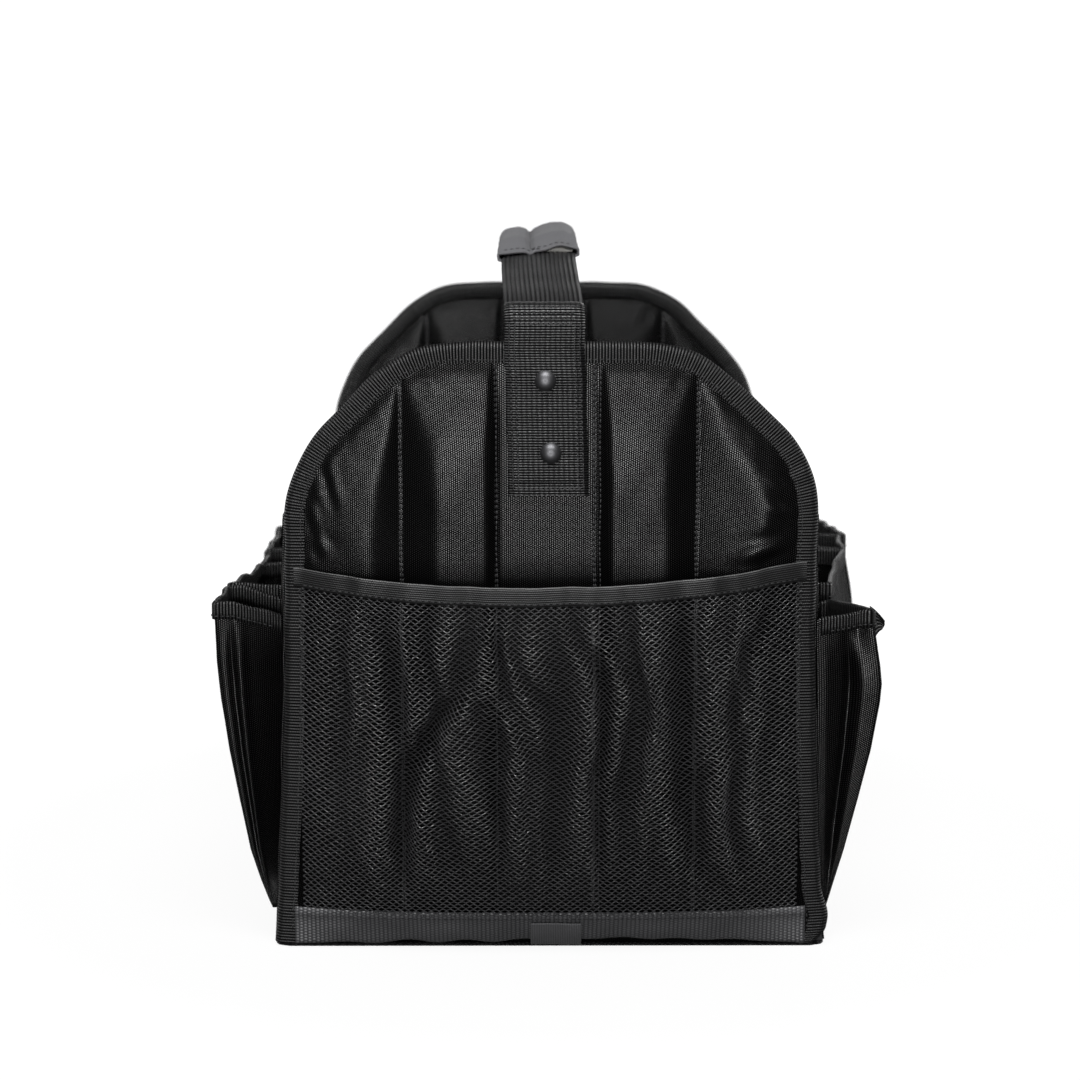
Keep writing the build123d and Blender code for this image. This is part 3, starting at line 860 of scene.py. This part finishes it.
def make_net(end, seed):
    """The net as real strands: staggered diamond cells that follow the folds, knotted where strands cross."""
    fine_x = np.linspace(-NET_HALF + 0.5, NET_HALF - 0.5, 900)
    columns = int(2 * NET_HALF / NET_HALF_CELL[0])
    rows = int((NET_TOP - NET_FOOT) / NET_HALF_CELL[1])
    i, j = np.meshgrid(np.arange(columns + 1), np.arange(rows + 1), indexing="ij")
    x = np.zeros(i.shape)
    for row in range(rows + 1):
        run = lengths(net_surface(end, fine_x, np.full_like(fine_x, row / rows), seed))
        x[:, row] = np.interp(np.arange(columns + 1) / columns * run[-1], run, fine_x)
    x = blur(x, 30, 0) + 0.16 * ripple(seed + 7, 5, i, j)
    level = j / rows + 0.001 * ripple(seed + 8, 5, i, j)
    nodes = net_surface(end, x, level, seed)
    # Painted light and shade for the yarn: nodes standing out past the net's smoothed surface get a higher
    # lit, nodes in its hollows a lower one.
    relief = ENDS[end] * (nodes[..., 1] - blur(nodes[..., 1], 40, 60))
    lit = np.clip(0.82 + 0.17 * relief, 0.15, 1.2)
    crossing = (i + j) % 2 == 0
    rising, falling = crossing[:-1, :-1], crossing[:-1, 1:]
    knots = nodes[crossing]
    link = np.array((0, 0, 0.18))
    starts = [nodes[:-1, :-1][rising] + link, nodes[:-1, 1:][falling] - link, knots - link * 2.2]
    stops = [nodes[1:, 1:][rising] - link, nodes[1:, :-1][falling] + link, knots + link * 2.2]
    thick = [np.full(rising.sum() + falling.sum(), 0.3), np.full(len(knots), 0.46)]
    piece = make_strands(
        f"{end}_net_strands", np.concatenate(starts), np.concatenate(stops), np.concatenate(thick), end
    )
    # Each strand carries the painted light and shade of its node.
    shares = np.concatenate([lit[:-1, :-1][rising], lit[:-1, 1:][falling], lit[crossing]])
    piece.data.attributes.new("lit", "FLOAT", "POINT").data.foreach_set("value", np.repeat(shares, 8))
    attach(piece, f"{end}_net_pocket", f"{end}_net")


def make_strands(name, a, b, radius, end):
    """Four-sided strands from points a to points b."""
    along = unit(b - a)
    out = np.array((0.0, ENDS[end], 0.0))
    across = unit(np.cross(along, out))
    up = np.cross(across, along)
    a, b = a - along * 0.12, b + along * 0.12
    rings = []
    for turn in range(4):
        angle = math.pi / 4 + turn * math.pi / 2
        offset = (math.cos(angle) * across + math.sin(angle) * up) * radius[:, None]
        rings.append(np.stack([a + offset, b + offset], axis=1))
    points = np.stack(rings, axis=1).reshape(-1, 3)
    base = 8 * np.arange(len(a))[:, None, None]
    sides = np.array([[2 * k, 2 * k + 1, (2 * k + 3) % 8, (2 * k + 2) % 8] for k in range(4)])
    faces = (base + sides[None]).reshape(-1, 4)
    uvs = points[:, [0, 2]]
    return make_piece(name, points, faces.tolist(), uvs, "netting")


def make_net_rim(end, seed):
    """The elastic tape along the top of the net, with its stitches."""
    sign, body = ENDS[end], f"{end}_net_pocket"
    x = resample(joined(*[np.linspace(-NET_HALF - 2, NET_HALF + 2, 300)] * 2), spacing=1.5)[:, 0]
    inside = np.clip(x, -NET_HALF + 0.6, NET_HALF - 0.6)
    foot = net_surface(end, inside, np.ones_like(x), seed)
    y = smooth(foot[:, 1] + sign * 0.3, 8)
    z = foot[:, 2] + 3.9 + 0.3 * ripple(seed + 5, 40, x)
    lean_out = sign * (0.06 + 0.05 * ripple(seed + 6, 60, x))
    rings = [joined(x, y + sign * out * 0.8 + lean_out * up * 5.1, z + up * 5.1) for up, out in RIM_SECTION]
    rings = np.stack(rings, axis=1)
    if end == "front":
        rings = rings[:, ::-1]
    attach(make_bar(f"{end}_net_elastic", rings, "elastic_tape"), body, f"{end}_net_rim")
    line = joined(x, y + sign * 0.85, z - 3.4 + 0.15 * ripple(seed + 7, 20, x))
    sew(body, line[4:-4], (0, sign, 0), "net_rim")


def make_foot_band(end, seed):
    """The coarse cloth between the base and the net's foot, and the tab in its middle."""
    x, t = np.meshgrid(np.linspace(-131.5, 131.5, 160), np.linspace(0, 1, 16))
    plan = 1 - (np.abs(x) / 132) ** 3.2
    low_edge = 1.9 + (1.1 + 1.1 * ripple(seed, 42, x) + 1.3 * ease(-40, 40, x)) * plan
    z = low_edge + (21.8 - low_edge) * t
    out = 1.6 + plan * (12.8 * t**0.85 + 0.7 * np.sin(math.pi * t) * ripple(seed + 1, 26, x, z))
    points = on_end(end, x, out + 0.7 * bump(t, 0.86, 0.13), z)
    uv = (lengths(points[8]), z * 1.25)
    band = make_sheet(f"{end}_foot_band_cloth", points, uv, "coarse_cloth", 1.1, flip=end == "back")
    attach(band, BODY, f"{end}_net_foot_band")
    sew(BODY, points[12] + (0, ENDS[end] * 0.25, 0), (0, ENDS[end], 0), "foot_band")
    low, high = node_box(f"{end}_base_tab")
    x, t = np.meshgrid(np.linspace(low[0], high[0], 27), np.linspace(0, 1, 20))
    out = 3.7 + 9.6 * t**0.9 + 0.7 * np.sin(math.pi * t) + 0.25 * ripple(seed + 3, 12, x, 10 * t)
    points = on_end(end, x, out, 1.8 + 14.2 * t + 0.35 * ripple(seed + 4, 24, x))
    tab = make_sheet(f"{end}_tab", points, (x, 14 * t), "tab_tape", 0.9, flip=end == "back")
    attach(tab, BODY, f"{end}_base_tab")


# ---- Side walls, base and floor ----
WALL_END_Y = 174.5
WALL_TOP_X = 132.2  # the middle of a wall's top edge
# The outer face of a wall's cloth at some heights, beside the end panels.
WALL_HEIGHTS = (0, 60, 112, 170, 226)
WALL_FACE_X = (141.1, 138.1, 135.6, 134.2, 134.0)


def wall_x(y, z):
    """The outer face of a side wall's cloth, which bellies out between the end panels."""
    belly = 5.0 * (1 - np.clip(np.abs(y) / WALL_END_Y, 0, 1) ** 6) * ease(25, 110, z) * ease(222, 185, z)
    return np.interp(z, WALL_HEIGHTS, WALL_FACE_X) + belly


def make_walls(side, seed):
    """A side wall's outer and inner cloth, and the tape on its top edge."""
    sign = SIDES[side]
    low, high = node_box(f"{side}_wall")
    y, z = np.meshgrid(np.linspace(low[1], high[1], 150), np.linspace(low[2], high[2], 90))
    wave = 0.5 * (1 + ripple(seed, 55, y, z)) + 0.25 * (1 + ripple(seed + 1, 17, y * 0.6, z))
    outer = joined(sign * (wall_x(y, z) + 0.4 + wave), y, z)
    cloth = make_sheet(f"{side}_wall_cloth", outer, (y, z), "shell_cloth", 0.8, flip=side == "left")
    attach(cloth, BODY, f"{side}_wall")
    inner = joined(sign * (wall_x(WALL_END_Y, z) - 3.2 - wave), y, z)
    lining = make_sheet(f"{side}_wall_inner_cloth", inner, (y, z), "shell_cloth", 0.6, flip=side == "right")
    attach(lining, BODY, f"{side}_wall_lining")
    run = np.arange(low[1], high[1], 1.2)
    section = tape_ring(9.6, 4.6, 0.8)
    drop, lift = gathered(section, 0.03 * pucker(run, seed + 2), 0.25 * pucker(run, seed + 3))
    top = high[2] + 0.9 + 0.5 * ripple(seed + 4, 70, run)[:, None]
    middle = WALL_TOP_X + 0.4 * ripple(seed + 5, 90, run)[:, None]
    rings = joined(sign * (middle + section[None, :, 1] + lift), run[:, None], top - drop)
    if side == "right":
        rings = rings[:, ::-1]
    attach(make_bar(f"{side}_wall_tape", rings, "binding_tape"), BODY, f"{side}_wall_binding")
    for way in (1, -1):
        reach = WALL_TOP_X + way * 3.45
        sew(BODY, joined(sign * reach, run, high[2] - 7.0), (sign * way, 0, 0), "tape")


def make_base():
    """The base cloth and the cloth on the floor."""
    low, high = node_box("bottom_cover")
    x, y = np.meshgrid(np.linspace(low[0], high[0], 120), np.linspace(low[1], high[1], 150))
    z = 1.55 - 0.9 * bump(np.minimum(high[0] - abs(x), high[1] - abs(y)), 0, 1.2)
    corner = np.clip((abs(y) - high[1] + 7) / 7, 0, 1)
    rounded_x = x * (1 - 7 * (1 - np.sqrt(1 - corner**2)) / high[0])
    # base_cloth is painted in shade colours: the coarse cloth made far darker.
    cover = make_sheet("base_cloth", joined(rounded_x, y, z), (x, y), "base_cloth", 1.3)
    attach(cover, BODY, "bottom_cover")
    low, high = node_box("floor_lining")
    x, y = np.meshgrid(np.linspace(low[0] - 1, high[0] + 1, 110), np.linspace(low[1], high[1], 140))
    edge = np.minimum(high[0] - abs(x), high[1] - abs(y))
    z = high[2] + 0.5 + 0.5 * ripple(91, 60, x, y) + 1.6 * bump(edge, 0, 7)
    lining = make_sheet("floor_cloth", joined(x, y, z), (x, y), "shell_cloth", 0.7)
    attach(lining, BODY, "floor_lining")
    run = np.arange(-168.0, 168.0, 1.5)
    for sign in (-1, 1):
        sew(BODY, joined(sign * 136.5, run, high[2] + 1.6), (-sign * 0.6, 0, 1), "floor")


# ---- Side pockets ----
POCKET_TOP = 180.6
# Each pocket, front one first: how far its front and back outer corners reach, as shares of the side's
# profile, and how far the rim droops there, in mm.
CORNERS = {
    "left": (
        (1, 0.94, 0, 0), (0.93, 0.72, 0, 8), (0.74, 0.76, 9, 9), (0.8, 0.86, 10, 15), (0.88, 0.8, 16, 20)
    ),
    "right": ((1, 0.4, 0, 0), (0.42, 1.02, 0, 0), (1.04, 1.1, 0, 0), (1.22, 1.05, 0, 8), (1.08, 0.95, 9, 14)),
}
# How far the front pocket's rim drops beside the wall and at its outer corner.
RIM_DROPS = {"left": (9, 0), "right": (9.5, 4.5)}
# The outer corner's x at some heights.
PROFILES = {
    "left": (
        (14, 142), (22, 145.6), (33, 149.8), (49, 155), (76, 160.3), (102, 165), (129, 168.6), (150, 170.4),
        (181, 171.2),
    ),
    "right": (
        (14, 142), (22, 144.4), (33, 147.6), (49, 152.4), (76, 159.2), (102, 165.4), (129, 169.6),
        (140, 170.4), (150, 169.4), (170, 166.3), (181, 165.6),
    ),
}
# The shape in plan of the two front gussets, at mid height and at the rim: place between wall and outer
# corner, and how far it lies back.
GUSSETS = {
    "left": (
        ((0, 17), (0.55, 4.6), (0.60, 0.2), (0.68, 0.0), (0.77, 4.4), (0.83, 0.3), (0.94, 0.1), (1, 2.5)),
        ((0, 8), (0.6, 0.5), (0.7, -0.5), (1, 0)),
    ),
    "right": (
        ((0, 0), (0.16, 0.2), (0.4, 4.5), (0.52, 9.5), (0.62, 2.4), (0.69, 0.2), (0.96, 0), (1, 1)),
        ((0, 0), (0.4, 0.5), (0.7, 3), (0.88, 0.5), (1, 0)),
    ),
}


def gusset(side, number, front, share, z, seed):
    """How far forward a gusset stands from its plane, by its share of the way to the outer corner."""
    tall = ease(16, 70, z)
    if number == POCKETS[0] and front:
        middle, rim = (np.interp(share, *zip(*table)) for table in GUSSETS[side])
        return -tall * (middle + (rim - middle) * ease(135, 178, z))
    draw = np.random.default_rng(seed)
    folds = 0
    for centre in (0.25, 0.55, 0.84):
        centre = centre + draw.uniform(-0.06, 0.06) + 0.05 * ripple(seed + 3, 90, z)
        folds = folds + draw.uniform(0.5, 1.0) * bump(share, centre, draw.uniform(0.07, 0.12))
    return tall * (1.9 * folds * (1 - 0.6 * ease(150, 181, z)) - 2.5 * np.sin(math.pi * share))


def pocket_path(side, number, y0, y1, z, seed):
    """The pocket's cloth in plan at height z: from the wall out along the front gusset, back along the outer
    face, and in along the back gusset."""
    front_share, back_share = CORNERS[side][number - 1][:2]
    profile = np.interp(z, *zip(*PROFILES[side]))
    front_wall, back_wall = wall_x(y0, z) + 1.4, wall_x(y1, z) + 1.4
    plain_wall = wall_x(WALL_END_Y, z)
    front_x = max(plain_wall + (profile - plain_wall) * front_share, front_wall + 0.4)
    back_x = max(plain_wall + (profile - plain_wall) * back_share, back_wall + 0.4)
    width = y1 - y0
    share = np.linspace(0, 1, 40)
    forward = gusset(side, number, True, share, z, seed) * min(1.0, (front_x - front_wall) / 12)
    room = 1.0 if number == POCKETS[0] else 0.35
    front = np.stack([front_wall + (front_x - front_wall) * share, y0 + 1.0 - room * forward], axis=1)
    along = np.linspace(0, 1, max(16, int(width / 2.2)))[1:-1]
    loose = np.sin(math.pi * along) * np.clip((profile - plain_wall) / 30, 0, 1)
    face = front_x + (back_x - front_x) * along
    calm = 1 - 0.6 * ease(140, 181, z)
    billow = 2.4 * calm * ripple(seed + 5, 34, along * width, z * 0.25)
    face = face + loose * (billow - 1.5 * ease(120, 180, z))
    face = face + loose * 0.5 * ripple(seed + 6, 12, along * width, z * 0.3)
    y = y0 + 1.0 + (width - 2.0) * along
    face = np.stack([np.maximum(face, wall_x(y, z) + 1.8), y], axis=1)
    forward = gusset(side, number, False, share[::-1], z, seed + 40) * min(1.0, (back_x - back_wall) / 12)
    room = 1.0 if number == POCKETS[-1] else 0.35
    back = np.stack([back_wall + (back_x - back_wall) * share[::-1], y1 - 1.0 + room * forward], axis=1)
    line = smooth(np.concatenate([front, face, back]), 1)
    return np.concatenate([line, np.full((len(line), 1), z)], axis=1)


def make_pocket(side, number, seed):
    """One side pocket: its cloth, the tape on its mouth, and its stitches."""
    sign = SIDES[side]
    name = f"{side}_pocket_{number}"
    body = f"{name}_body"
    low, high = node_box(name)
    y0, y1 = low[1], high[1]
    heights = np.concatenate([np.linspace(low[2] - 6, 60, 24), np.linspace(62, POCKET_TOP, 62)])
    grid = np.array([pocket_path(side, number, y0, y1, z, seed) for z in heights])
    run = lengths(grid[-1])
    droop = np.interp(grid[..., 1], (y0, y1), CORNERS[side][number - 1][2:])
    if number == POCKETS[0]:
        droop = droop + np.interp(grid[..., 0], (136, 161), RIM_DROPS[side])
    grid[..., 2] -= ease(90, 181, grid[..., 2]) * (droop + 1.2 * (1 + ripple(seed + 8, 60, run)))
    grid[..., 0] *= sign
    uv = (run, heights[:, None])
    cloth = make_sheet(f"{name}_cloth", grid, uv, "shell_cloth", 0.7, flip=side == "left")
    attach(cloth, body, name)
    top = resample(grid[-1], spacing=1.1)
    top[:, :2] = smooth(top[:, :2], 3)
    out = unit(np.cross(unit(np.gradient(top, axis=0)), (0, 0, 1))) * sign
    section = tape_ring(9.0, 1.5, 0.75)
    at = lengths(top)
    drop, push = gathered(section, 0.04 * pucker(at, seed + 11), 0.12 * pucker(at, seed + 12))
    push = push + section[None, :, 1]
    rise = 0.8 + 0.35 * ripple(seed + 13, 30, at)[:, None] - drop
    rings = top[:, None] + out[:, None] * push[..., None] + joined(0, 0, rise)
    if side == "left":
        rings = rings[:, ::-1]
    attach(make_bar(f"{name}_tape", rings[2:-2], "binding_tape"), body, f"{name}_rim")
    row = (top + out * 1.75 - (0, 0, 6.6))[6:-6]
    sew(body, row, out[6:-6], "tape")


def make_loose_end():
    """The binding's loose end at the outer corner of the front right pocket."""
    a, b = np.meshgrid(np.linspace(0, 1, 14), np.linspace(0, 1, 14))
    x = 162.5 + 8.8 * a * (1 - 0.25 * b) + 2.5 * b * (1 - a) + 0.6 * np.sin(3 * b)
    y = -171.5 + 5.0 * a + 1.2 * np.sin(math.pi * b)
    z = 177.5 - 9.0 * a * (1 - b) - b * (17.0 - 3.5 * a) + 0.8 * np.sin(math.pi * a)
    piece = make_sheet("right_pocket_1_tape_end", joined(x, y, z), (10 * b, 9 * a), "binding_tape", 0.8)
    attach(piece, "right_pocket_1_body")


# ---- Build ----
for end, seed in (("front", 100), ("back", 200)):
    make_panel_cloth(end, "face", seed)
    make_panel_cloth(end, "lining", seed + 20)
    make_edge_binding(end, seed + 40)
    make_strap(end, seed + 50)
    make_handle_webbing(end)
    make_net(end, seed + 70)
    make_net_rim(end, seed + 70)
    make_foot_band(end, seed + 80)
make_grip()
make_base()
for side, seed in (("left", 300), ("right", 400)):
    make_walls(side, seed)
    for number in POCKETS:
        make_pocket(side, number, seed + 20 * number)
make_loose_end()
make_stitches()

for name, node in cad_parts.items():
    if node.hide_render:
        continue
    slot_name = "rivet_metal" if "rivet" in name else "stiffener_board"
    node.data.materials.clear()
    node.data.materials.append(MATERIALS[slot_name])
    node.data.polygons.foreach_set("use_smooth", np.ones(len(node.data.polygons), bool))


# ---- Stage, lights and camera, in metres and watts ----
# Each light: place, what it looks at, size and power.
LIGHTS = {
    "key": ((-0.1, -2.3, 0.4), (0, 0, 0.2), (0.9, 0.8), 17),
    "top": ((0, -0.8, 1.75), (0, -0.1, 0.3), (1.1, 0.9), 22),
    "back": ((0.3, 2.3, 0.6), (0, 0, 0.2), (1.4, 0.9), 12),
    "left_side": ((-2.2, 0.8, 0.55), (0, 0, 0.15), (1.8, 1.1), 20),
    "right_side": ((2.2, 0.8, 0.55), (0, 0, 0.15), (1.8, 1.1), 20),
}
REFLECTED_WORLD = 0.012  # strength of the surroundings in what the cloth reflects
SEEN_WORLD = 1.1
CAMERA_PLACE = (-0.010, -1.500, 0.453)
CAMERA_TILT = 10.3  # degrees below level
FLOOR_HALF = 12


def make_floor():
    """A wide floor that glows to the eye, so that it melts into the white behind the bag."""
    mesh = bpy.data.meshes.new("floor")
    corners = [(a * FLOOR_HALF, b * FLOOR_HALF, 0) for a, b in ((-1, -1), (1, -1), (1, 1), (-1, 1))]
    mesh.from_pydata(corners, [], [(0, 1, 2, 3)])
    floor = bpy.data.objects.new("floor", mesh)
    bpy.context.scene.collection.objects.link(floor)
    material = bpy.data.materials.new("floor")
    material.use_nodes = True
    tree = material.node_tree
    surface = tree.nodes["Principled BSDF"]
    noise = tree.nodes.new("ShaderNodeTexNoise")
    ramp = tree.nodes.new("ShaderNodeValToRGB")
    ramp.color_ramp.elements[0].color = (0.07, 0.07, 0.07, 1)
    ramp.color_ramp.elements[1].color = (0.09, 0.09, 0.09, 1)
    tree.links.new(noise.outputs[0], ramp.inputs[0])
    tree.links.new(ramp.outputs[0], surface.inputs["Base Color"])
    surface.inputs["Roughness"].default_value = 0.9
    surface.inputs["Specular IOR Level"].default_value = 0.1
    surface.inputs["Emission Color"].default_value = (1, 1, 1, 1)
    path = tree.nodes.new("ShaderNodeLightPath")
    glow = tree.nodes.new("ShaderNodeMath")
    glow.operation = "MULTIPLY"
    place = tree.nodes.new("ShaderNodeNewGeometry")
    away = tree.nodes.new("ShaderNodeVectorMath")
    away.operation = "LENGTH"
    near = tree.nodes.new("ShaderNodeMapRange")
    near.inputs[1].default_value, near.inputs[2].default_value = 0.3, 0.8
    near.inputs[3].default_value, near.inputs[4].default_value = 0.93, 1.1
    tree.links.new(place.outputs["Position"], away.inputs[0])
    tree.links.new(away.outputs["Value"], near.inputs[0])
    tree.links.new(near.outputs[0], glow.inputs[1])
    tree.links.new(path.outputs["Is Camera Ray"], glow.inputs[0])
    tree.links.new(glow.outputs[0], surface.inputs["Emission Strength"])
    mesh.materials.append(material)


def area_light(name, place, target, size, power):
    """A soft light that looks at target."""
    light = bpy.data.lights.new(name, "AREA")
    light.shape = "RECTANGLE"
    light.size, light.size_y = size
    light.energy = power
    lamp = bpy.data.objects.new(name, light)
    lamp.location = place
    lamp.rotation_euler = Vector(np.subtract(target, place)).to_track_quat("-Z", "Y").to_euler()
    bpy.context.scene.collection.objects.link(lamp)


def make_world():
    """White where it is seen, and nearly black in what the cloth reflects."""
    world = bpy.data.worlds.new("studio")
    bpy.context.scene.world = world
    world.use_nodes = True
    tree = world.node_tree
    tree.nodes.clear()
    out = tree.nodes.new("ShaderNodeOutputWorld")
    path = tree.nodes.new("ShaderNodeLightPath")
    mix = tree.nodes.new("ShaderNodeMixShader")
    tree.links.new(path.outputs["Is Camera Ray"], mix.inputs[0])
    for number, strength in ((1, REFLECTED_WORLD), (2, SEEN_WORLD)):
        background = tree.nodes.new("ShaderNodeBackground")
        background.inputs[0].default_value = (1, 1, 1, 1)
        background.inputs[1].default_value = strength
        tree.links.new(background.outputs[0], mix.inputs[number])
    tree.links.new(mix.outputs[0], out.inputs[0])


def make_camera():
    """Seen from a little above, square to the front panel."""
    camera = bpy.data.cameras.new("camera")
    camera.lens = 88.9
    camera.sensor_width = 36
    eye = bpy.data.objects.new("camera", camera)
    eye.location = CAMERA_PLACE
    eye.rotation_euler = (math.radians(90 - CAMERA_TILT), 0, math.radians(-0.21))
    camera.dof.use_dof = True
    camera.dof.focus_distance = 1.33
    camera.dof.aperture_fstop = 10
    bpy.context.scene.collection.objects.link(eye)
    bpy.context.scene.camera = eye


make_floor()
make_world()
for name, light in LIGHTS.items():
    area_light(name, *light)
make_camera()
bpy.context.scene.view_settings.view_transform = "Standard"
